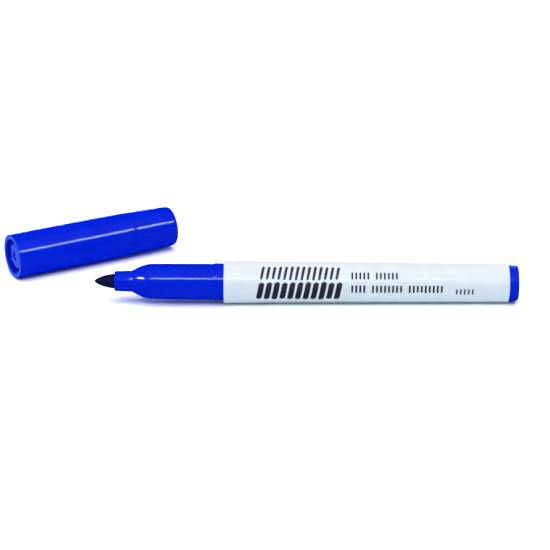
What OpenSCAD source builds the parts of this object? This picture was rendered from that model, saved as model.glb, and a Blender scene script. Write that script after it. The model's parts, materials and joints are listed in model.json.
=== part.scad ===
// A slim felt tip marker for dry-erase boards, laid flat with its cap off beside it.
// Lengths along the pen count from the tip of its nib towards its tail, and lengths
// along the cap from its closed end towards its mouth. All sizes are in millimetres.

/* [Front section] */
// Diameter of the grip at its rear, which sets every diameter behind it
grip_d = 9.82; // [8:0.01:12]
// Length of the grip, from the shoulder to the snap bead
grip_len = 17.1; // [12:0.1:24]
// How much thinner the grip is at its front, across
grip_draft = 0.27; // [0:0.01:0.6]
// Length of the straight stretch at the rear of the grip
seat_len = 5; // [3:0.1:8]
// Length of the domed shoulder ahead of the grip
shoulder_len = 5.2; // [3:0.1:8]
// Fullness of the shoulder: 1 is a plain cone, 2 is well rounded
shoulder_curve = 1.7; // [1:0.1:2.5]
// Length of the slim holder that the nib stands in
holder_len = 4.75; // [4:0.05:7]
// Wall of the holder around the nib
holder_wall = 0.695; // [0.6:0.005:1.2]
// How much thicker the holder is at its root, across
holder_draft = 0.3; // [0:0.01:0.4]
// Width of the snap bead behind the grip
bead_len = 0.7; // [0.5:0.05:1]
// Height of the snap bead over the collar
bead_rise = 0.16; // [0.1:0.01:0.3]
// Length of the collar between the bead and the barrel
collar_len = 1.9; // [1.6:0.05:3]
// Height of the collar over the grip
collar_rise = 0.115; // [0.05:0.005:0.3]
// Length of the spigot that is pressed into the barrel
spigot_len = 9; // [5:0.5:14]
// Wall of the spigot
spigot_wall = 0.65; // [0.5:0.05:1]
// Rounding of the holder's front edge
nose_edge = 0.3; // [0.1:0.05:0.5]
// How far behind the shoulder the hollow for the reservoir starts
hollow_inset = 2; // [1:0.5:4]

/* [Nib] */
// Diameter of the fibre nib
nib_d = 4.05; // [2.6:0.05:4.6]
// Length of nib that shows
nib_len = 5.5; // [4:0.1:8]
// Diameter of the nib's tail, which soaks ink out of the reservoir
nib_tail_d = 2.6; // [1.6:0.1:3]
// Length of the nib's tail inside the reservoir
nib_tail_len = 8; // [4:0.5:14]

/* [Barrel] */
// Length of the barrel
barrel_len = 77.2; // [60:0.1:110]
// How much thinner the barrel is at its tail than behind its flare, across
barrel_taper = 0.84; // [0:0.01:1.4]
// How far the front end flares out to meet the cap, across
barrel_flare = 0.4; // [0:0.01:0.8]
// Length of the flare
barrel_flare_len = 22; // [8:1:40]
// Wall of the barrel at its tail
barrel_wall = 0.98; // [0.8:0.01:1.2]
// Rounding of the barrel's two end edges
barrel_edge = 0.2; // [0.05:0.05:0.4]

/* [End plug] */
// Length of the plug that shows behind the barrel
plug_head_len = 2.65; // [1.5:0.05:5]
// How far the plug's side stands in from the barrel's side
plug_step = 0.4; // [0.1:0.05:0.6]
// Rounding of the plug's end edge
plug_edge = 0.6; // [0.2:0.05:1]
// Length of the plug's skirt inside the barrel
plug_skirt_len = 8; // [5:0.5:14]
// Thickness of the plug's floor inside the barrel
skirt_floor = 2.5; // [1:0.5:4]
// Width of the fine seam between the barrel and the plug
seam = 0.15; // [0.05:0.05:0.3]

/* [Ink reservoir] */
// Thickness of the film around the fibre
wrap_film = 0.15; // [0.05:0.05:0.3]
// Air space between the nib's seat and the fibre
air_space = 2.5; // [1:0.5:5]

/* [Cap] */
// Length of the cap
cap_len = 48.9; // [42:0.1:60]
// Wall of the cap at its mouth
cap_mouth_wall = 0.65; // [0.5:0.05:1]
// Wall of the cap at its closed end, which holds up as far as the inner cup reaches
cap_end_wall = 1.275; // [1:0.005:1.6]
// Length over which the bore opens out in front of the inner cup
bore_step_len = 3; // [1:0.5:5]
// How much wider the cap is at its closed end than at its mouth, across
cap_swell = 0.65; // [0:0.05:1.2]
// Fullness of the cap's middle over a plain taper, across
cap_belly = 0.45; // [0:0.05:1]
// Rounding of the rim at the closed end
cap_rim_edge = 0.1; // [0.05:0.05:0.5]
// How far back from the mouth its outer edge starts to round over
mouth_round_len = 1.8; // [0.6:0.1:3]
// How far in the mouth's outer edge rounds over
mouth_round_depth = 0.4; // [0.1:0.05:0.45]
// Depth of the tapered lead-in at the mouth
lead_in = 0.45; // [0.2:0.05:0.8]

/* [Cap seal] */
// Wall of the inner cup that seals around the nib holder
seal_wall = 0.6; // [0.5:0.05:1]
// Thickness of the closed end of the inner cup
seal_end = 1; // [0.6:0.1:2]
// How far the inner cup's end lies inside the rim
seal_recess = 0.8; // [0.2:0.1:2]
// Length of holder that the inner cup covers when the cap is on
seal_grip = 3.5; // [2:0.1:4.5]
// Number of ribs that carry the inner cup
rib_count = 3; // [3:1:6]
// Thickness of a rib
rib_t = 0.7; // [0.5:0.05:1.5]
// How far the ribs start inside the rim
rib_recess = 1; // [0.9:0.1:3]
// How far the ribs stop short of the inner cup's mouth
rib_stop = 2; // [0.5:0.5:6]
// Diameter of the small hollow in the middle of the inner cup's end
dimple_d = 2.6; // [1:0.1:3]
// Depth of that hollow
dimple_depth = 0.3; // [0.1:0.05:0.5]

/* [Fits] */
// Radial gap between the snap bead and the bore of the cap
bead_gap = 0.065; // [0.03:0.005:0.15]
// Radial gap between the collar and the lip of the cap
lip_gap = 0.07; // [0.03:0.005:0.12]
// Radial gap between the nib holder and the inner cup
seal_gap = 0.05; // [0.02:0.01:0.1]
// Radial bite of every press fit
press_bite = 0.02; // [0:0.01:0.04]
// Radial gap around the reservoir and around the nib's tail
reservoir_gap = 0.1; // [0.05:0.05:0.3]
// Free length between the reservoir and the end plug
end_gap = 1; // [0.5:0.5:3]

/* [Rest] */
// Where the cap is: laid beside the pen, or pushed onto the front section
cap_place = "laid"; // [laid, on_nib]
// How far the cap's closed end lies ahead of the nib's tip
cap_ahead = 24.3; // [15:0.1:60]
// How far the cap's closed end lies to the side of the pen's axis
cap_aside = 17.4; // [15:0.1:60]
// How far the cap is turned away from the pen's direction
cap_turn = 28.3; // [0:0.1:60]

/* [Hidden] */
$fn = 96;

blue = [0.02, 0.13, 0.82];
white = [0.93, 0.94, 0.97];
ink = [0.05, 0.06, 0.22];
fibre = [0.25, 0.32, 0.72];
film = [0.86, 0.87, 0.9];

// Steps along a curved stretch of an outline, and around a rounded edge
curve_steps = 12;
edge_steps = 5;

// Places along the pen
x_holder = nib_len;
x_shoulder = x_holder + holder_len;
x_grip = x_shoulder + shoulder_len;
x_bead = x_grip + grip_len;
x_collar = x_bead + bead_len;
x_barrel = x_collar + collar_len;
x_plug = x_barrel + barrel_len;
x_end = x_plug + plug_head_len;

// Diameters that follow one another, from the grip out to the cap and back to the tail
collar_d = grip_d + 2 * collar_rise;
bead_d = collar_d + 2 * bead_rise;
cap_bore_d = bead_d + 2 * bead_gap;
lip_d = collar_d + 2 * lip_gap;
cap_mouth_d = cap_bore_d + 2 * cap_mouth_wall;
cap_end_d = cap_mouth_d + cap_swell;
cap_end_bore_d = cap_end_d - 2 * cap_end_wall;
barrel_front_d = cap_mouth_d;
barrel_tail_d = barrel_front_d - barrel_flare - barrel_taper;
barrel_bore_d = barrel_tail_d - 2 * barrel_wall;
plug_d = barrel_tail_d - 2 * plug_step;
press_d = barrel_bore_d + 2 * press_bite;

// Inside the pen
cavity_d = barrel_bore_d - 2 * spigot_wall;
wrap_d = cavity_d - 2 * reservoir_gap;
fibre_d = wrap_d - 2 * wrap_film;
x_cavity = x_grip + hollow_inset;
x_fibre = x_cavity + air_space;
x_skirt = x_plug - plug_skirt_len;
x_fibre_end = x_plug - skirt_floor - end_gap;

// The nib holder, and the inner cup of the cap that seals on it
holder_d = nib_d + 2 * holder_wall;
holder_root_d = holder_d + holder_draft;
seal_bore_d = holder_root_d + 2 * seal_gap;
seal_d = seal_bore_d + 2 * seal_wall;
seal_mouth = cap_len - x_barrel + x_holder + seal_grip;
seal_lead_in = 0.4;
bore_step = seal_mouth + 1;

// The lip in the cap's mouth fills the collar behind the snap bead
lip_bevel = 0.15;
lip_end = cap_len - lead_in;
lip_len = collar_len - lead_in - lip_bevel;
lip_start = lip_end - lip_len;

// The pen lies on its flared front edge and on its tail, so it leans by this much
lean = atan((barrel_front_d - barrel_tail_d) / 2 / barrel_len);

// Outlines are lists of [radius, distance along the axis]

// A quarter ellipse from angle a0 to a1 about [r, x]; 0 points outwards, 90 along the axis
function quarter(r, x, depth, len, a0, a1) =
    [for (i = [0:edge_steps]) let (a = a0 + (a1 - a0) * i / edge_steps)
        [r + depth * cos(a), x + len * sin(a)]];

// Radius of the barrel at a distance from its front face
function barrel_r(s) =
    (barrel_tail_d + barrel_taper * (1 - s / barrel_len)
     + barrel_flare * pow(max(0, 1 - s / barrel_flare_len), 2)) / 2;

// Radius of the cap at a share t of its length
function cap_r(t) =
    (cap_end_d - cap_swell * pow(t, 3) + cap_belly * (t - pow(t, 3))) / 2;

// The nib comes to a point like a bullet; its points are closer together near the tip
point_taper = 1.5;
point_fullness = 0.6;
nib_point =
    [for (i = [0:curve_steps]) let (t = pow(i / curve_steps, point_taper))
        [nib_d / 2 * pow(1 - pow(1 - t, point_taper), point_fullness), nib_len * t]];

shoulder =
    [for (i = [0:curve_steps]) let (t = i / curve_steps)
        [(grip_d - grip_draft) / 2
         - (grip_d - grip_draft - holder_root_d) / 2 * pow(1 - t, shoulder_curve),
         x_shoulder + shoulder_len * t]];

// The barrel's points are closer together along its flare
barrel_side =
    [for (i = [0:2 * curve_steps])
        let (t = pow(i / (2 * curve_steps), 1.5),
             s = barrel_edge + (barrel_len - 2 * barrel_edge) * t)
        [barrel_r(s), x_barrel + s]];

barrel_outline = concat(
    quarter(barrel_r(barrel_edge) - barrel_edge, x_barrel + barrel_edge,
            barrel_edge, barrel_edge, -90, 0),
    barrel_side,
    quarter(barrel_r(barrel_len - barrel_edge) - barrel_edge, x_plug - barrel_edge,
            barrel_edge, barrel_edge, 0, 90));

plug_outline = concat(
    [[plug_d / 2 - seam, x_plug], [plug_d / 2 - seam, x_plug + seam], [plug_d / 2, x_plug + seam]],
    quarter(plug_d / 2 - plug_edge, x_end - plug_edge, plug_edge, plug_edge, 0, 90));

cap_side =
    [for (i = [0:2 * curve_steps])
        let (s = cap_rim_edge + (cap_len - cap_rim_edge - mouth_round_len) * i / (2 * curve_steps))
        [cap_r(s / cap_len), s]];

cap_outline = concat(
    quarter(cap_r(0) - cap_rim_edge, cap_rim_edge, cap_rim_edge, cap_rim_edge, -90, 0),
    cap_side,
    quarter(cap_r(1 - mouth_round_len / cap_len) - mouth_round_depth, cap_len - mouth_round_len,
            mouth_round_depth, mouth_round_len, 0, 90));

// How far a turned outline reaches in a direction, given as its share along the axis and across it
function reach(outline, along, across) = max([for (p = outline) p.y * along + p.x * across]);

// The pen and the laid cap both touch the table, and their common box is centred on the origin
pen_z = reach(barrel_outline, sin(lean), cos(lean));
cap_z = reach(cap_outline, 0, 1);
low_x = -cap_ahead - reach(cap_outline, -cos(cap_turn), sin(cap_turn));
high_x = reach(plug_outline, cos(lean), sin(lean));
low_y = -max(reach(barrel_outline, 0, 1), reach(cap_outline, -sin(cap_turn), cos(cap_turn)) - cap_aside);
high_y = cap_aside + reach(cap_outline, sin(cap_turn), cos(cap_turn));
centre = [(low_x + high_x) / 2, (low_y + high_y) / 2, 0];

// Turns an outline about the pen's or the cap's axis
module turned(outline) {
    rotate([0, 90, 0]) rotate_extrude() polygon(outline);
}

// A round bore along the axis, from a to b
module bore(d, a, b) {
    translate([a, 0, 0]) rotate([0, 90, 0]) cylinder(d = d, h = b - a);
}

module on_pen() {
    translate([0, 0, pen_z] - centre) rotate([0, lean, 0]) children();
}

module on_cap() {
    if (cap_place == "on_nib")
        on_pen() translate([x_barrel - cap_len, 0, 0]) children();
    else
        translate([-cap_ahead, cap_aside, cap_z] - centre) rotate([0, 0, cap_turn]) children();
}

module nib() {
    stem_end = x_cavity + air_space / 2;
    tail_end = x_fibre + nib_tail_len;
    color(ink) on_pen() turned(concat(
        [[0, 0]], nib_point,
        [[nib_d / 2, stem_end], [nib_tail_d / 2, x_fibre - air_space / 4],
         [nib_tail_d / 2, tail_end], [0, tail_end]]));
}

module front_section() {
    x_seat = x_bead - seat_len;
    x_spigot_end = x_barrel + spigot_len;
    chamfer = spigot_wall / 2;
    color(blue) on_pen() difference() {
        turned(concat(
            [[0, x_holder]],
            quarter(holder_d / 2 - nose_edge, x_holder + nose_edge, nose_edge, nose_edge, -90, 0),
            shoulder,
            [[grip_d / 2, x_seat], [grip_d / 2, x_bead],
             [bead_d / 2, x_bead + bead_len / 4], [bead_d / 2, x_collar - bead_len / 4],
             [collar_d / 2, x_collar], [collar_d / 2, x_barrel],
             [press_d / 2, x_barrel], [press_d / 2, x_spigot_end - chamfer],
             [press_d / 2 - chamfer, x_spigot_end], [0, x_spigot_end]]));
        bore(nib_d - 2 * press_bite, x_holder - 1, x_cavity + 1);
        bore(cavity_d, x_cavity, x_spigot_end + 1);
    }
}

module barrel() {
    color(white) on_pen() difference() {
        turned(concat([[0, x_barrel]], barrel_outline, [[0, x_plug]]));
        bore(barrel_bore_d, x_barrel - 1, x_plug + 1);
    }
}

module ink_reservoir() {
    color(fibre) on_pen() difference() {
        bore(fibre_d, x_fibre, x_fibre_end);
        bore(nib_tail_d + 2 * reservoir_gap, x_fibre - 1, x_fibre + nib_tail_len + reservoir_gap);
    }
}

module reservoir_wrap() {
    color(film) on_pen() difference() {
        bore(wrap_d, x_fibre, x_fibre_end);
        bore(fibre_d, x_fibre - 1, x_fibre_end + 1);
    }
}

module end_plug() {
    chamfer = spigot_wall / 2;
    color(blue) on_pen() difference() {
        turned(concat(
            [[0, x_skirt], [press_d / 2 - chamfer, x_skirt], [press_d / 2, x_skirt + chamfer],
             [press_d / 2, x_plug]],
            plug_outline,
            [[0, x_end]]));
        bore(cavity_d, x_skirt - 1, x_plug - skirt_floor);
    }
}

module cap_sleeve() {
    mouth_r = lip_d / 2 + lead_in / 3;
    color(blue) on_cap() turned(concat(
        [[cap_end_bore_d / 2, 0]],
        cap_outline,
        [[mouth_r, cap_len], [lip_d / 2, lip_end], [lip_d / 2, lip_start],
         [cap_bore_d / 2, lip_start - lip_bevel],
         [cap_bore_d / 2, bore_step + bore_step_len], [cap_end_bore_d / 2, bore_step]]));
}

module cap_inner_seal() {
    rib_r = cap_end_bore_d / 2 + press_bite;
    rib_len = seal_mouth - rib_stop - rib_recess;
    color(blue) on_cap() difference() {
        union() {
            bore(seal_d, seal_recess, seal_mouth);
            for (i = [0:rib_count - 1])
                rotate([i * 360 / rib_count, 0, 0])
                    translate([rib_recess, -rib_t / 2, 0]) intersection() {
                        cube([rib_len, rib_t, rib_r + 1]);
                        translate([0, rib_t / 2, 0]) bore(2 * rib_r, 0, rib_len);
                    }
        }
        bore(seal_bore_d, seal_recess + seal_end, seal_mouth + 1);
        turned([[0, seal_mouth - seal_lead_in], [seal_bore_d / 2, seal_mouth - seal_lead_in],
                [seal_bore_d / 2 + seal_lead_in, seal_mouth],
                [seal_bore_d / 2 + seal_lead_in, seal_mouth + 1], [0, seal_mouth + 1]]);
        bore(dimple_d, seal_recess - 1, seal_recess + dimple_depth);
    }
}

nib();
front_section();
barrel();
ink_reservoir();
reservoir_wrap();
end_plug();
cap_sleeve();
cap_inner_seal();
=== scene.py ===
"""A slim felt tip marker lying on a table, with its cap off beside it.

Lengths in the tables below are in millimetres. Along the pen they count from the tip of the nib
towards the tail, and along the cap from its closed end towards its mouth.
"""
import json
import math

import bmesh
import bpy
from mathutils import Matrix, Vector


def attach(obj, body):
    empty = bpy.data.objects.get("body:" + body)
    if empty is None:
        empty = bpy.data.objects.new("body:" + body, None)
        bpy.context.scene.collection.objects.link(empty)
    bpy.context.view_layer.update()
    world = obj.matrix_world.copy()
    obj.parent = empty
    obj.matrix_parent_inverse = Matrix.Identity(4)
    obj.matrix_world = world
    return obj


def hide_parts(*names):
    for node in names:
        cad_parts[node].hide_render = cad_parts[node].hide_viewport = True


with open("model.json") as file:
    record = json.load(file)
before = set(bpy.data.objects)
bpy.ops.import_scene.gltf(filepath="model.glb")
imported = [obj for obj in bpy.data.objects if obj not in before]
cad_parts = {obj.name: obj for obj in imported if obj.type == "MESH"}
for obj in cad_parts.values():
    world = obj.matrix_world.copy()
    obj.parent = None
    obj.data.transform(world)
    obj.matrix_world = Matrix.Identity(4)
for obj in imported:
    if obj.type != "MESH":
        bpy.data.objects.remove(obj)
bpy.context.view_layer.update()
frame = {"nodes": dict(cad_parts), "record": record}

MM = 0.001

# Pen
HOLDER_START, SHOULDER_START, GRIP_START = 5.5, 10.25, 15.45
SEAT_START, BEAD_START, COLLAR_START, BARREL_START = 27.55, 32.55, 33.25, 35.15
PLUG_START, PEN_END = 112.35, 115.0
HOLDER_R, HOLDER_ROOT_R, HOLDER_EDGE = 2.72, 2.87, 0.3
GRIP_FRONT_R, GRIP_R, BEAD_R, COLLAR_R = 4.775, 4.91, 5.185, 5.025
SHOULDER_FULLNESS = 1.7
PRESS_R, CAVITY_R, NIB_BORE_R, CHAMFER = 4.32, 3.65, 2.005, 0.325
CAVITY_START, SPIGOT_END = 17.45, 44.15
NIB_R, NIB_TAIL_R = 2.025, 1.3
NIB_TAPER, NIB_FULLNESS, NIB_ROW_CROWDING = 1.5, 0.6, 1.8
NIB_STEM_END, NIB_TAIL_START, NIB_TAIL_END = 18.7, 19.325, 27.95

# Barrel
BARREL_LEN = PLUG_START - BARREL_START
BARREL_TAIL_R, BARREL_TAPER, BARREL_FLARE, BARREL_FLARE_LEN = 5.28, 0.42, 0.2, 22.0
BARREL_BORE_R, BARREL_EDGE = 4.3, 0.2

# End plug
PLUG_R, PLUG_EDGE, PLUG_SEAM, PLUG_BAND, PLUG_FACE_R = 4.88, 0.6, 0.15, 0.6, 2.0
SKIRT_START, SKIRT_FLOOR = 104.35, 2.5

# Cap
CAP_LEN, CAP_END_R, CAP_SWELL, CAP_BELLY = 48.9, 6.225, 0.325, 0.225
CAP_RIM_EDGE, MOUTH_ROUND_LEN, MOUTH_ROUND_DEPTH = 0.1, 1.8, 0.4
CAP_BORE_R, LIP_R, LIP_START, LIP_END, LIP_BEVEL = 5.25, 5.095, 47.15, 48.45, 0.15
END_BORE_R, BORE_STEP, BORE_STEP_END = 4.95, 23.75, 26.75
MOUTH_R = 5.25

# The fine line round the cap: a groove, and past it the cap is a little slimmer towards its mouth
PARTING_AT, PARTING_STEP, PARTING_TAPER = 35.2, 0.06, 0.1
GROOVE_DEPTH, GROOVE_EDGE, GROOVE_END, GROOVE_CLEAR = 0.2, 0.1, 0.42, 0.5

# Inner seal of the cap
SEAL_R, SEAL_BORE_R, SEAL_START, SEAL_FLOOR, SEAL_MOUTH = 3.52, 2.92, 0.8, 1.8, 22.75
SEAL_LEAD_IN, DIMPLE_R, DIMPLE_DEPTH = 0.4, 1.3, 0.3
RIB_COUNT, RIB_T, RIB_START, RIB_END, RIB_R = 3, 0.7, 1.0, 20.75, 4.97
RIB_SINK, RIB_GAP = 0.1, 0.03


def mount(name):
    """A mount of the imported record, by its name."""
    return next(m for m in frame["record"]["mounts"] if m["name"] == name)


def place_along(axis, point, station):
    """The place of a piece whose own +X runs along axis, when point is at that station."""
    x = Vector(axis).normalized()
    y = Vector((0, 0, 1)).cross(x).normalized()
    z = x.cross(y)
    turn = Matrix((x, y, z)).transposed().to_4x4()
    return Matrix.Translation(Vector(point) - x * station * MM) @ turn


tail_face, cap_mouth = mount("tail_face"), mount("cap_mouth")
PEN = place_along(tail_face["axis"], tail_face["pos_m"], PEN_END)
CAP = place_along(cap_mouth["axis"], cap_mouth["pos_m"], (LIP_START + LIP_END) / 2)


# ---------------------------------------------------------------- node trees

class Value:
    """A number inside a node tree, so that a rule can be written as a formula."""

    def __init__(self, tree, socket):
        self.tree, self.socket = tree, socket

    def math(self, operation, *others):
        node = self.tree.nodes.new("ShaderNodeMath")
        node.operation = operation
        for spot, value in zip(node.inputs, (self, *others)):
            feed(self.tree, spot, value)
        return Value(self.tree, node.outputs[0])

    def __add__(self, other): return self.math("ADD", other)
    def __sub__(self, other): return self.math("SUBTRACT", other)
    def __mul__(self, other): return self.math("MULTIPLY", other)
    def __truediv__(self, other): return self.math("DIVIDE", other)
    def __rsub__(self, other): return self.math("MULTIPLY", -1.0).math("ADD", other)
    __radd__, __rmul__ = __add__, __mul__
    def at_least(self, other): return self.math("MAXIMUM", other)
    def at_most(self, other): return self.math("MINIMUM", other)
    def root(self): return self.math("SQRT")
    def cos(self): return self.math("COSINE")
    def sin(self): return self.math("SINE")
    def size(self): return self.math("ABSOLUTE")

    def blend(self, low, high):
        """low where this is 0, high where it is 1."""
        return self * (high - low) + low


def feed(tree, spot, value):
    if isinstance(value, Value):
        value = value.socket
    if isinstance(value, bpy.types.NodeSocket):
        tree.links.new(value, spot)
    else:
        spot.default_value = value


def add(tree, kind, inputs=None, **settings):
    """A node with its settings and its inputs, given by name or number."""
    node = tree.nodes.new(kind)
    for name, value in settings.items():
        setattr(node, name, value)
    for name, value in (inputs or {}).items():
        feed(tree, node.inputs[name], value)
    return node


KINDS = {"size": "NodeSocketFloat", "count": "NodeSocketInt", "material": "NodeSocketMaterial",
         "geometry": "NodeSocketGeometry"}


class Maker:
    """A Geometry Nodes tree with named inputs."""

    def __init__(self, name, **inputs):
        self.tree = bpy.data.node_groups.new(name, "GeometryNodeTree")
        face = self.tree.interface
        face.new_socket("Geometry", in_out="OUTPUT", socket_type=KINDS["geometry"])
        face.new_socket("Geometry", in_out="INPUT", socket_type=KINDS["geometry"])
        self.spots = {}
        for label, kind in {**inputs, "finish": "material"}.items():
            spot = face.new_socket(label, in_out="INPUT", socket_type=KINDS[kind])
            self.spots[label] = spot.identifier
        self.given = self.tree.nodes.new("NodeGroupInput")

    def __getitem__(self, label):
        return Value(self.tree, self.given.outputs[label])

    def node(self, kind, inputs=None, **settings):
        return add(self.tree, kind, inputs, **settings)

    def place(self):
        """The x, y and z of each point."""
        spot = self.node("GeometryNodeInputPosition")
        parts = self.node("ShaderNodeSeparateXYZ", {0: spot.outputs[0]})
        return [Value(self.tree, o) for o in parts.outputs]

    def point(self, x, y, z):
        return self.node("ShaderNodeCombineXYZ", {0: x, 1: y, 2: z}).outputs[0]

    def move(self, geometry, position):
        return self.node("GeometryNodeSetPosition",
                         {"Geometry": geometry, "Position": position}).outputs[0]

    def close(self, geometry):
        """Ends the tree: real geometry, in its finish."""
        real = self.node("GeometryNodeRealizeInstances", {0: geometry})
        done = self.node("GeometryNodeSetMaterial", {"Geometry": real.outputs[0],
                                                     "Material": self["finish"]})
        out = self.tree.nodes.new("NodeGroupOutput")
        self.tree.links.new(done.outputs[0], out.inputs[0])

    def make(self, name, base=None, **inputs):
        """Runs the tree on a base mesh, and gives the plain mesh that comes out."""
        carrier = bpy.data.objects.new(name, base or bpy.data.meshes.new(name))
        bpy.context.scene.collection.objects.link(carrier)
        nodes = carrier.modifiers.new("make", "NODES")
        nodes.node_group = self.tree
        for label, value in inputs.items():
            nodes[self.spots[label]] = value
        graph = bpy.context.evaluated_depsgraph_get()
        mesh = bpy.data.meshes.new_from_object(carrier.evaluated_get(graph))
        bpy.data.objects.remove(carrier)
        mesh.name = name
        return mesh


# ---------------------------------------------------------------- turned shapes

def soften(outline, steps=4):
    """Rounds the corners of an outline of (x, radius, rounding); rounding may be left out."""
    done = []
    for i, corner in enumerate(outline):
        here = Vector(corner[:2])
        rounding = corner[2] if len(corner) > 2 else 0
        if not rounding:
            done.append(here)
            continue
        before = Vector(outline[i - 1][:2])
        after = Vector(outline[(i + 1) % len(outline)][:2])
        start = here + (before - here).normalized() * min(rounding, (before - here).length / 2)
        end = here + (after - here).normalized() * min(rounding, (after - here).length / 2)
        for k in range(steps + 1):
            t = k / steps
            done.append(start * (1 - t) ** 2 + here * 2 * t * (1 - t) + end * t ** 2)
    return done


def quarter(x, r, length, depth, start, end, steps=7):
    """A quarter ellipse about (x, r); 0 degrees points outwards, 90 along the axis."""
    angles = [math.radians(start + (end - start) * i / steps) for i in range(steps + 1)]
    return [(x + length * math.sin(a), r + depth * math.cos(a)) for a in angles]


def turned(name, outline, segments=128, closed=False):
    """A mesh turned from an outline about +X, in metres. Points at radius 0 become poles."""
    shape = bmesh.new()
    rings = []
    for x, r in outline:
        if r < 1e-6:
            rings.append([shape.verts.new((x * MM, 0, 0))])
            continue
        angles = [2 * math.pi * k / segments for k in range(segments)]
        rings.append([shape.verts.new((x * MM, r * MM * math.cos(a), r * MM * math.sin(a)))
                      for a in angles])
    pairs = list(zip(rings, rings[1:] + rings[:1] if closed else rings[1:]))
    for a, b in pairs:
        for k in range(segments):
            n = (k + 1) % segments
            if len(a) == 1 and len(b) == 1:
                continue
            if len(a) == 1:
                shape.faces.new((a[0], b[n], b[k]))
            elif len(b) == 1:
                shape.faces.new((a[k], a[n], b[0]))
            else:
                shape.faces.new((a[k], a[n], b[n], b[k]))
    mesh = bpy.data.meshes.new(name)
    shape.to_mesh(mesh)
    shape.free()
    return mesh


def finished(name, mesh, body, place, finish, stands_for=(), crease=40):
    """Puts a mesh in its place as a piece of the marker."""
    shape = bmesh.new()
    shape.from_mesh(mesh)
    bmesh.ops.remove_doubles(shape, verts=shape.verts, dist=1e-7)
    bmesh.ops.recalc_face_normals(shape, faces=shape.faces)
    shape.to_mesh(mesh)
    shape.free()
    mesh.transform(place)
    mesh.shade_smooth()
    mesh.set_sharp_from_angle(angle=math.radians(crease))
    mesh.materials.clear()
    mesh.materials.append(finish)
    piece = bpy.data.objects.new(name, mesh)
    bpy.context.scene.collection.objects.link(piece)
    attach(piece, body)
    if stands_for:
        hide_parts(*stands_for)
    return piece


def joined(meshes, name):
    """Several meshes as one."""
    shape = bmesh.new()
    for mesh in meshes:
        shape.from_mesh(mesh)
    mesh = bpy.data.meshes.new(name)
    shape.to_mesh(mesh)
    shape.free()
    return mesh


# ---------------------------------------------------------------- finishes

class Finish:
    """A material on a piece, with its pattern laid out along the piece's own axis, in mm."""

    def __init__(self, name, place):
        self.material = bpy.data.materials.new(name)
        self.material.use_nodes = True
        self.tree = self.material.node_tree
        self.shader = self.tree.nodes["Principled BSDF"]
        where = self.tree.nodes.new("ShaderNodeTexCoord")
        local = add(self.tree, "ShaderNodeMapping", {"Vector": where.outputs["Object"]},
                    vector_type="TEXTURE")
        local.inputs["Location"].default_value = place.to_translation()
        local.inputs["Rotation"].default_value = place.to_euler()
        local.inputs["Scale"].default_value = (MM, MM, MM)
        parts = add(self.tree, "ShaderNodeSeparateXYZ", {0: local.outputs[0]})
        self.x, self.y, self.z = (Value(self.tree, o) for o in parts.outputs)

    def set(self, **values):
        for label, value in values.items():
            feed(self.tree, self.shader.inputs[label.replace("_", " ")], value)

    def noise(self, scale=1.0, along=1.0, across=1.0, detail=3.0, rough=0.5):
        """Noise from 0 to 1, with scale patches to a millimetre, stretched along or across."""
        spot = add(self.tree, "ShaderNodeCombineXYZ",
                   {0: self.x * along, 1: self.y * across, 2: self.z * across})
        node = add(self.tree, "ShaderNodeTexNoise",
                   {"Vector": spot.outputs[0], "Scale": scale, "Detail": detail,
                    "Roughness": rough})
        return Value(self.tree, node.outputs[0])

    def colours(self, share, *stops):
        """A colour from a ramp of (place, colour)."""
        ramp = add(self.tree, "ShaderNodeValToRGB", {0: share})
        elements = ramp.color_ramp.elements
        while len(elements) < len(stops):
            elements.new(0.5)
        for element, (spot, colour) in zip(elements, stops):
            element.position = spot
            element.color = (*colour, 1)
        return ramp.outputs[0]

    def bump(self, height, depth):
        """Relief of that depth in metres."""
        node = add(self.tree, "ShaderNodeBump", {"Height": height, "Distance": depth,
                                                 "Strength": 1.0})
        feed(self.tree, self.shader.inputs["Normal"], node.outputs[0])


def blue_moulding(name, place, painted_shade):
    """Glossy blue plastic: flow marks along the mould, and fine rubbing marks from handling."""
    f = Finish(name, place)
    flow = f.noise(0.35, along=0.25, detail=2)
    rubs = f.noise(2.2, along=0.12, across=1.6, detail=4, rough=0.6)
    # The last argument scales the blue down: painted shade, the same plastic given a darker colour
    f.set(Base_Color=f.colours(flow, (0.3, (0.0, 0.012, 0.60 * painted_shade)),
                               (0.7, (0.0, 0.018, 0.68 * painted_shade))),
          Roughness=rubs * 0.1 + 0.1, IOR=1.5, Specular_IOR_Level=0.16)
    f.bump(flow * 0.6 + rubs * 0.15, 12e-6)
    return f.material


def white_tube(name, place):
    """White extruded plastic with a satin gloss and faint draw lines along it."""
    f = Finish(name, place)
    cloud = f.noise(0.25, detail=2)
    draw = f.noise(3.0, along=0.02, across=1.0, detail=3)
    f.set(Base_Color=f.colours(cloud, (0.3, (0.705, 0.73, 0.775)), (0.7, (0.735, 0.755, 0.80))),
          Roughness=draw * 0.12 + 0.24, IOR=1.48, Specular_IOR_Level=0.2)
    f.bump(draw, 3e-6)
    return f.material


def wet_fibre(name, place, dark, light):
    """Bonded fibre soaked in ink: fine strands along the axis."""
    f = Finish(name, place)
    strands = f.noise(6.0, along=0.12, across=1.0, detail=4, rough=0.65)
    blots = f.noise(0.8, detail=3)
    f.set(Base_Color=f.colours(strands * 0.7 + blots * 0.3, (0.32, dark), (0.68, light)),
          Roughness=strands * 0.25 + 0.55, IOR=1.4, Specular_IOR_Level=0.04)
    f.bump(strands, 30e-6)
    return f.material


def printed_ink(name, place):
    """Dark printing ink: slightly uneven cover, satin."""
    f = Finish(name, place)
    cover = f.noise(3.5, detail=4, rough=0.6)
    f.set(Base_Color=f.colours(cover, (0.3, (0.011, 0.009, 0.028)), (0.75, (0.024, 0.018, 0.05))),
          Roughness=cover * 0.15 + 0.35, IOR=1.45)
    return f.material


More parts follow.
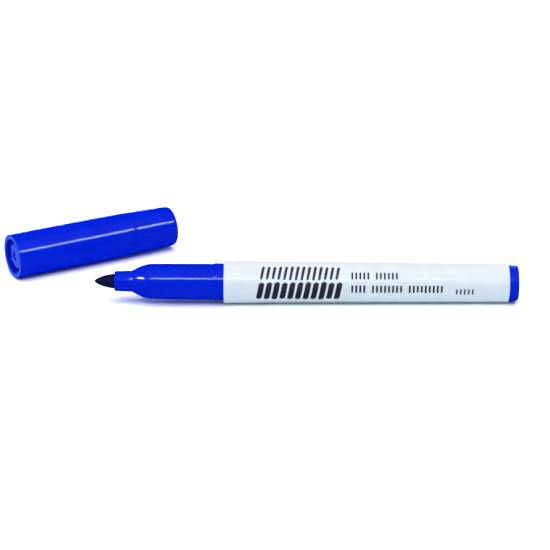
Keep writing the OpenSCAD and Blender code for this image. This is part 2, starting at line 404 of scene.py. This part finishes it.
def clear_wrap(name, place):
    """Thin film with fine creases along it."""
    f = Finish(name, place)
    crease = f.noise(1.4, along=0.1, across=1.0, detail=3)
    f.set(Base_Color=f.colours(crease, (0.3, (0.72, 0.76, 0.84)), (0.7, (0.82, 0.85, 0.9))),
          Roughness=crease * 0.15 + 0.15, IOR=1.48)
    f.bump(crease, 10e-6)
    return f.material


# The grip and tail plug are the same blue plastic as the cap; their colour is scaled to 0.92 as
# painted shade
grip_blue = blue_moulding("grip_blue_plastic", PEN, 0.92)
cap_blue = blue_moulding("cap_blue_plastic", CAP, 1.0)
tube_white = white_tube("barrel_white_plastic", PEN)
nib_ink = wet_fibre("nib_wet_fibre", PEN, (0.0018, 0.0022, 0.021), (0.005, 0.0045, 0.052))
soaked = wet_fibre("reservoir_soaked_fibre", PEN, (0.03, 0.05, 0.3), (0.1, 0.16, 0.55))
film = clear_wrap("reservoir_film", PEN)
print_ink = printed_ink("barrel_print_ink", PEN)


# ---------------------------------------------------------------- nib

fibres = Maker("fibre_relief", strand_width="size", strand_length="size", relief="size",
               seed="size")
x, y, z = fibres.place()
spot = fibres.point(x / fibres["strand_length"], y / fibres["strand_width"],
                    z / fibres["strand_width"])
strand = fibres.node("ShaderNodeTexNoise", {"Vector": spot, "W": fibres["seed"], "Scale": 1.0,
                                            "Detail": 2.0}, noise_dimensions="4D")
lift = (Value(fibres.tree, strand.outputs[0]) - 1.0) * fibres["relief"]
normal = fibres.node("GeometryNodeInputNormal")
push = fibres.node("ShaderNodeVectorMath", {0: normal.outputs[0], "Scale": lift},
                   operation="SCALE")
fibres.close(fibres.node("GeometryNodeSetPosition",
                         {"Geometry": fibres["Geometry"], "Offset": push.outputs[0]}).outputs[0])


def nib_outline(tip_rows=64, stem_rows=24, tail_rows=16):
    """A bullet tip, with its rows closest at the point, then the shaft and the slimmer tail."""
    tip = []
    for i in range(tip_rows + 1):
        t = (i / tip_rows) ** NIB_ROW_CROWDING
        tip.append((HOLDER_START * t, NIB_R * (1 - (1 - t) ** NIB_TAPER) ** NIB_FULLNESS))
    stem = [(HOLDER_START + (NIB_STEM_END - HOLDER_START) * i / stem_rows, NIB_R)
            for i in range(1, stem_rows + 1)]
    tail = [(NIB_TAIL_START + (NIB_TAIL_END - NIB_TAIL_START) * i / tail_rows, NIB_TAIL_R)
            for i in range(tail_rows + 1)]
    return tip + stem + tail + [(NIB_TAIL_END, 0)]


nib = fibres.make("fibre_nib", turned("nib_base", nib_outline(), segments=256),
                  strand_width=0.16 * MM, strand_length=2.6 * MM, relief=0.05 * MM, seed=3.0,
                  finish=nib_ink)
finished("fibre_nib", nib, "pen", PEN, nib_ink, ["nib"])


# ---------------------------------------------------------------- front section

def shoulder(steps=28):
    """The dome from the nib holder up to the grip."""
    points = []
    for i in range(steps + 1):
        t = i / steps
        points.append((SHOULDER_START + (GRIP_START - SHOULDER_START) * t,
                       GRIP_FRONT_R - (GRIP_FRONT_R - HOLDER_ROOT_R)
                       * (1 - t) ** SHOULDER_FULLNESS))
    return points


BEAD_RAMP = (COLLAR_START - BEAD_START) / 4
front_outline = (
    [(HOLDER_START, NIB_BORE_R)]
    + quarter(HOLDER_START + HOLDER_EDGE, HOLDER_R - HOLDER_EDGE, HOLDER_EDGE, HOLDER_EDGE, -90, 0)
    + shoulder()
    + soften([(SEAT_START, GRIP_R), (BEAD_START, GRIP_R, 0.06),
              (BEAD_START + BEAD_RAMP, BEAD_R, 0.1), (COLLAR_START - BEAD_RAMP, BEAD_R, 0.1),
              (COLLAR_START, COLLAR_R, 0.06), (BARREL_START, COLLAR_R)])
    + [(BARREL_START, PRESS_R), (SPIGOT_END - CHAMFER, PRESS_R),
       (SPIGOT_END, PRESS_R - CHAMFER), (SPIGOT_END, CAVITY_R), (CAVITY_START, CAVITY_R),
       (CAVITY_START, NIB_BORE_R)])
finished("front_moulding", turned("front_moulding", front_outline, 160, closed=True), "pen", PEN,
         grip_blue, ["front_section"])


# ---------------------------------------------------------------- barrel

def barrel_rule(s, tail, taper, flare, length, flare_length):
    """Radius of the barrel at s from its front face: a taper, and a flare at the front."""
    open_end = (1.0 - s / flare_length).at_least(0.0)
    return tail + taper * (1.0 - s / length) + flare * open_end * open_end


tube = Maker("tapered_tube", start="size", length="size", tail="size", taper="size",
             flare="size", flare_length="size", bore="size", edge="size", rows="count",
             segments="count")
ring = tube["rows"] + 1.0
grid = tube.node("GeometryNodeMeshGrid",
                 {"Size X": ring * 2.0, "Size Y": tube["segments"],
                  "Vertices X": ring * 2.0 + 1.0, "Vertices Y": tube["segments"] + 1.0})
x, y, z = tube.place()
row = (x + ring).math("ROUND").math("MODULO", ring * 2.0)
outside = row.math("LESS_THAN", tube["rows"] + 0.5)
count = outside.blend(ring * 2.0 - 1.0 - row, row)
s = (1.0 - (count / tube["rows"] * math.pi).cos()) * 0.5 * tube["length"]
near = (1.0 - s.at_most(tube["length"] - s) / tube["edge"]).at_least(0.0).at_most(1.0)
rounded = tube["edge"] * (1.0 - (1.0 - near * near).at_least(0.0).root())
side = barrel_rule(s, tube["tail"], tube["taper"], tube["flare"], tube["length"],
                   tube["flare_length"]) - rounded
radius = outside.blend(tube["bore"], side)
angle = y * (2 * math.pi) / tube["segments"]
wall = tube.move(grid.outputs[0], tube.point(tube["start"] + s, radius * angle.cos(),
                                             radius * angle.sin()))
tube.close(tube.node("GeometryNodeMergeByDistance", {"Geometry": wall,
                                                     "Distance": 1e-6}).outputs[0])

barrel = tube.make("white_barrel", start=BARREL_START * MM, length=BARREL_LEN * MM,
                   tail=BARREL_TAIL_R * MM, taper=BARREL_TAPER * MM, flare=BARREL_FLARE * MM,
                   flare_length=BARREL_FLARE_LEN * MM, bore=BARREL_BORE_R * MM,
                   edge=BARREL_EDGE * MM, rows=160, segments=192, finish=tube_white)
finished("white_barrel", barrel, "pen", PEN, tube_white, ["barrel"])


# ---------------------------------------------------------------- printing on the barrel

# Each row of slanted strokes: start and pitch along the pen, how many, stroke width, height
# around the barrel, slant, place around the barrel in degrees from the top, and seed
PRINT_ROWS = [
    (45.6, 1.56, 14, 0.74, 4.4, 0.18, 41.0, 1),
    (45.0, 2.10, 11, 1.50, 5.7, 0.18, 95.0, 2),
    (69.8, 1.08, 5, 0.52, 2.1, 0.0, 49.0, 3),
    (76.4, 1.08, 6, 0.52, 2.1, 0.0, 49.0, 4),
    (69.8, 1.08, 4, 0.52, 2.3, 0.0, 87.0, 5),
    (75.4, 1.08, 8, 0.52, 2.3, 0.0, 87.0, 6),
    (85.3, 1.08, 9, 0.52, 2.3, 0.0, 87.0, 7),
    (98.0, 1.08, 5, 0.42, 1.8, 0.0, 95.0, 8),
]

INK_THICKNESS = 0.03

strokes = Maker("printed_strokes", barrel_start="size", length="size", tail="size",
                taper="size", flare="size", flare_length="size", start="size", pitch="size",
                number="count", width="size", height="size", slant="size", around="size",
                ink="size", seed="count")
bar = strokes.node("GeometryNodeMeshCube", {"Size": (1, 1, 1), "Vertices X": 5,
                                            "Vertices Y": 15, "Vertices Z": 2})
x, y, z = strokes.place()
# A stroke's ends are rounded over this share of its half length, and keep a little width at the tip
END_ROUND, END_CUT = 0.16, 0.97
cut = ((y.size() * 2.0 - (1 - END_ROUND)) / END_ROUND).at_least(0.0).at_most(END_CUT)
capsule = strokes.move(bar.outputs[0], strokes.point(x * (1.0 - cut * cut).root(), y, z))
line = strokes.node("GeometryNodeMeshLine", {
    "Count": strokes["number"], "Start Location": (0, 0, 0),
    "Offset": strokes.point(strokes["pitch"], 0.0, 0.0)})
vary = strokes.node("FunctionNodeRandomValue", {"Seed": strokes["seed"]}, data_type="FLOAT")
SHORTEST, TALLEST = 0.86, 1.0
vary.inputs[2].default_value, vary.inputs[3].default_value = SHORTEST, TALLEST
tall = Value(strokes.tree, vary.outputs[1]) * strokes["height"]
many = strokes.node("GeometryNodeInstanceOnPoints", {
    "Points": line.outputs[0], "Instance": capsule,
    "Scale": strokes.point(strokes["width"], tall, strokes["ink"])})
flat = strokes.node("GeometryNodeRealizeInstances", {0: many.outputs[0]}).outputs[0]
x, y, z = strokes.place()
s = strokes["start"] + x + y * strokes["slant"]
radius = barrel_rule(s - strokes["barrel_start"], strokes["tail"], strokes["taper"],
                     strokes["flare"], strokes["length"], strokes["flare_length"])
angle = strokes["around"] - y / radius
radius = radius + z
# The pen's own +Z is up, and the side that faces the front of the scene is -Y
strokes.close(strokes.move(flat, strokes.point(s, radius * angle.sin() * -1.0,
                                               radius * angle.cos())))

rows = []
for start, pitch, number, width, height, slant, around, seed in PRINT_ROWS:
    rows.append(strokes.make(
        "strokes", barrel_start=BARREL_START * MM, length=BARREL_LEN * MM,
        tail=BARREL_TAIL_R * MM, taper=BARREL_TAPER * MM, flare=BARREL_FLARE * MM,
        flare_length=BARREL_FLARE_LEN * MM, start=start * MM, pitch=pitch * MM, number=number,
        width=width * MM, height=height * MM, slant=slant, around=math.radians(around),
        ink=INK_THICKNESS * MM, seed=seed, finish=print_ink))
finished("barrel_print", joined(rows, "barrel_print"), "pen", PEN, print_ink)


# ---------------------------------------------------------------- end plug

plug_outline = (
    [(SKIRT_START, CAVITY_R), (SKIRT_START, PRESS_R - CHAMFER), (SKIRT_START + CHAMFER, PRESS_R),
     (PLUG_START, PRESS_R), (PLUG_START, PLUG_R - PLUG_SEAM)]
    + soften([(PLUG_START + PLUG_SEAM, PLUG_R - PLUG_SEAM),
              (PLUG_START + PLUG_SEAM, PLUG_R, 0.1), (PLUG_START + PLUG_BAND, PLUG_R)])
    + quarter(PEN_END - PLUG_EDGE, PLUG_R - PLUG_EDGE, PLUG_EDGE, PLUG_EDGE, 0, 90, 10)
    + [(PEN_END, PLUG_FACE_R), (PEN_END, 0)])
plug_inside = [(PLUG_START - SKIRT_FLOOR, 0), (PLUG_START - SKIRT_FLOOR, CAVITY_R)]
finished("tail_plug", turned("tail_plug", plug_inside + plug_outline, 160), "pen", PEN,
         grip_blue, ["end_plug"])


# ---------------------------------------------------------------- cap

def cap_radius(s):
    """Radius of the cap at s from its closed end."""
    t = s / CAP_LEN
    past_line = max(0.0, (s - PARTING_AT) / (CAP_LEN - PARTING_AT))
    fine_step = PARTING_STEP + PARTING_TAPER * past_line if past_line else 0.0
    return CAP_END_R - CAP_SWELL * t ** 3 + CAP_BELLY * (t - t ** 3) - fine_step


def cap_side(steps=96):
    """The outside of the cap between its rim and the rounding of its mouth, with the groove."""
    length = CAP_LEN - CAP_RIM_EDGE - MOUTH_ROUND_LEN
    stations = [CAP_RIM_EDGE + length * i / steps for i in range(steps + 1)]
    plain = [(s, cap_radius(s)) for s in stations
             if not PARTING_AT + GROOVE_EDGE < s < PARTING_AT + GROOVE_CLEAR]
    top_r = cap_radius(PARTING_AT)
    floor_r = top_r - GROOVE_DEPTH
    groove = [(PARTING_AT, top_r), (PARTING_AT + GROOVE_EDGE, floor_r),
              (PARTING_AT + GROOVE_END, floor_r)]
    return sorted(plain + groove)


mouth_r = cap_radius(CAP_LEN - MOUTH_ROUND_LEN) - MOUTH_ROUND_DEPTH
cap_outline = (
    quarter(CAP_RIM_EDGE, CAP_END_R - CAP_RIM_EDGE, CAP_RIM_EDGE, CAP_RIM_EDGE, -90, 0)
    + cap_side()
    + quarter(CAP_LEN - MOUTH_ROUND_LEN, mouth_r, MOUTH_ROUND_LEN, MOUTH_ROUND_DEPTH, 0, 90, 12)
    + soften([(CAP_LEN, MOUTH_R, 0.05), (LIP_END, LIP_R, 0.1), (LIP_START, LIP_R, 0.1),
              (LIP_START - LIP_BEVEL, CAP_BORE_R), (BORE_STEP_END, CAP_BORE_R),
              (BORE_STEP, END_BORE_R), (0.0, END_BORE_R, 0.08)]))
finished("cap_tube", turned("cap_tube", cap_outline, 192, closed=True), "cap", CAP, cap_blue,
         ["cap_sleeve"])

cup_outline = soften([
    (SEAL_START + DIMPLE_DEPTH, 0), (SEAL_START + DIMPLE_DEPTH, DIMPLE_R - 0.1, 0.1),
    (SEAL_START, DIMPLE_R, 0.1), (SEAL_START, SEAL_R, 0.18), (SEAL_MOUTH, SEAL_R, 0.12),
    (SEAL_MOUTH, SEAL_BORE_R + SEAL_LEAD_IN, 0.06), (SEAL_MOUTH - SEAL_LEAD_IN, SEAL_BORE_R, 0.1),
    (SEAL_FLOOR, SEAL_BORE_R, 0.3), (SEAL_FLOOR, 0)])
finished("seal_cup", turned("seal_cup", cup_outline, 128), "cap", CAP, cap_blue,
         ["cap_inner_seal"])

ribs = Maker("ribs_about_axis", number="count", thickness="size", start="size", end="size",
             inner="size", outer="size")
blade = ribs.node("GeometryNodeMeshCube", {
    "Size": ribs.point(ribs["end"] - ribs["start"], ribs["thickness"],
                       ribs["outer"] - ribs["inner"]),
    "Vertices X": 9, "Vertices Y": 3, "Vertices Z": 3})
shift = ribs.point((ribs["start"] + ribs["end"]) * 0.5, 0.0,
                   (ribs["inner"] + ribs["outer"]) * 0.5)
blade = ribs.node("GeometryNodeTransform", {"Geometry": blade.outputs[0], "Translation": shift})
points = ribs.node("GeometryNodeMeshLine", {"Count": ribs["number"], "Offset": (0, 0, 0)})
index = Value(ribs.tree, ribs.node("GeometryNodeInputIndex").outputs[0])
turn = ribs.point(index * (2 * math.pi) / ribs["number"], 0.0, 0.0)
ribs.close(ribs.node("GeometryNodeInstanceOnPoints", {
    "Points": points.outputs[0], "Instance": blade.outputs[0], "Rotation": turn}).outputs[0])

blades = ribs.make("seal_ribs", number=RIB_COUNT, thickness=RIB_T * MM, start=RIB_START * MM,
                   end=RIB_END * MM, inner=(SEAL_R - RIB_SINK) * MM, outer=(RIB_R - RIB_GAP) * MM,
                   finish=cap_blue)
finished("seal_ribs", blades, "cap", CAP, cap_blue, ["cap_inner_seal"])


# ---------------------------------------------------------------- hidden pieces

for node, finish in (("ink_reservoir", soaked), ("reservoir_wrap", film)):
    mesh = frame["nodes"][node].data
    mesh.materials.clear()
    mesh.materials.append(finish)


# ---------------------------------------------------------------- table, light and camera

TABLE_HALF = 4.0


def table_top(name, height, brightness):
    """A wide square table top at that height, in metres, which doesn't show in gloss."""
    shape = bmesh.new()
    corners = [shape.verts.new((sx * TABLE_HALF, sy * TABLE_HALF, height))
               for sx, sy in ((-1, -1), (1, -1), (1, 1), (-1, 1))]
    shape.faces.new(corners)
    mesh = bpy.data.meshes.new(name)
    shape.to_mesh(mesh)
    shape.free()
    table = bpy.data.objects.new(name, mesh)
    bpy.context.scene.collection.objects.link(table)
    f = Finish(name, Matrix.Identity(4))
    f.set(Base_Color=(*brightness, 1), Roughness=0.7, Specular_IOR_Level=0.0)
    mesh.materials.append(f.material)
    table.visible_glossy = False
    return table


def softbox(name, direction, distance, aim, width, height, radiance, tint=(1, 1, 1),
            gloss_only=True):
    """A rectangular light of that radiance, which looks at the aim from a direction.

    It shows only in gloss, or else it lights the surfaces and doesn't show in gloss.
    """
    light = bpy.data.lights.new(name, "AREA")
    light.shape = "RECTANGLE"
    light.size, light.size_y = width, height
    light.energy = radiance * math.pi * width * height
    light.color = tint
    lamp = bpy.data.objects.new(name, light)
    bpy.context.scene.collection.objects.link(lamp)
    out = Vector(direction).normalized()
    lamp.location = Vector(aim) + out * distance
    lamp.rotation_euler = out.to_track_quat("Z", "Y").to_euler()
    lamp.visible_glossy, lamp.visible_diffuse = gloss_only, not gloss_only
    return lamp


def from_angles(azimuth, elevation):
    """A direction: azimuth turns from the camera's side (-Y) towards +X."""
    a, e = math.radians(azimuth), math.radians(elevation)
    return (math.sin(a) * math.cos(e), -math.cos(a) * math.cos(e), math.sin(e))


# The table that shows is brighter than a real one, so that it comes out pure white, and it sends no
# light back. The one just under it doesn't show, and sends back a weaker light in its place.
SHOWN_WHITE, BOUNCE_WHITE, BOUNCE_DEPTH = (1.45, 1.45, 1.45), (0.92, 1.08, 1.15), 0.05
shown = table_top("table_top", 0.0, SHOWN_WHITE)
shown.visible_diffuse = shown.visible_shadow = False
bounce = table_top("table_bounce", -BOUNCE_DEPTH * MM, BOUNCE_WHITE)
bounce.visible_camera = False

ROOM_COLOUR, ROOM_STRENGTH = (0.80, 0.92, 1.0), 0.2
world = bpy.data.worlds.new("studio")
world.use_nodes = True
background = world.node_tree.nodes["Background"]
background.inputs["Color"].default_value = (*ROOM_COLOUR, 1)
background.inputs["Strength"].default_value = ROOM_STRENGTH
# The scene takes the world first: set before that, its visibility prints an error
bpy.context.scene.world = world
world.cycles_visibility.glossy = False

middle, cap_end, tail_end = (0.0, -0.01, 0.005), CAP.to_translation(), tail_face["pos_m"]
COOL, TAIL_TINT, END_TINT = (0.62, 0.82, 1.0), (0.6, 1.0, 1.0), (0.36, 0.85, 1.0)
OVERHEAD, OVER_TAIL, UNDER_CAP = (0.0, -0.25, 1.0), (0.135, 0.85, 0.47), (-0.767, 0.507, -0.39)
softbox("overhead_softbox", OVERHEAD, 1.4, middle, 2.2, 2.0, 2.4, gloss_only=False)
softbox("front_strip", from_angles(-1.0, 40.6), 1.0, middle, 0.32, 0.05, 110.0, COOL)
softbox("right_strip", from_angles(60.0, 39.0), 1.0, middle, 0.5, 0.08, 75.0, COOL)
softbox("left_strip", from_angles(-57.0, 33.0), 1.0, middle, 0.3, 0.06, 260.0)
softbox("back_strip", from_angles(180.0, 0.0), 1.0, middle, 0.9, 0.04, 25.0, COOL)
softbox("left_fill", from_angles(-105.0, 12.0), 0.8, cap_end, 0.6, 0.4, 3.8, COOL,
        gloss_only=False)
softbox("tail_glow", OVER_TAIL, 0.15, tail_end, 0.02, 0.1, 1.6, TAIL_TINT)
# This one stands below the table, and is aimed at the cap's closed end
softbox("end_glow", UNDER_CAP, 0.6, cap_end, 0.5, 0.5, 1.0, END_TINT)

LENS_MM, SENSOR_MM = 130.9, 36.0
CAMERA_ELEVATION, CAMERA_AZIMUTH, CAMERA_ROLL = 22.946, 0.241, -0.06
CAMERA_DISTANCE = 0.54263
AIM = Vector((0.005127, -0.01982, 0.007807))


def camera_at():
    """Where the camera stands: away from AIM by its angles, and turned by its roll."""
    e, a, roll = (math.radians(v) for v in (CAMERA_ELEVATION, CAMERA_AZIMUTH, CAMERA_ROLL))
    ahead = Vector((math.sin(a) * math.cos(e), math.cos(a) * math.cos(e), -math.sin(e)))
    right = ahead.cross(Vector((0, 0, 1))).normalized()
    up = right.cross(ahead)
    right, up = (right * math.cos(roll) + up * math.sin(roll),
                 up * math.cos(roll) - right * math.sin(roll))
    turn = Matrix((right, up, -ahead)).transposed().to_4x4()
    return Matrix.Translation(AIM - ahead * CAMERA_DISTANCE) @ turn


lens = bpy.data.cameras.new("camera")
lens.lens, lens.sensor_width = LENS_MM, SENSOR_MM
lens.clip_start, lens.clip_end = 0.01, 50.0
camera = bpy.data.objects.new("camera", lens)
bpy.context.scene.collection.objects.link(camera)
camera.matrix_world = camera_at()
bpy.context.scene.camera = camera
bpy.context.scene.view_settings.view_transform = "Standard"
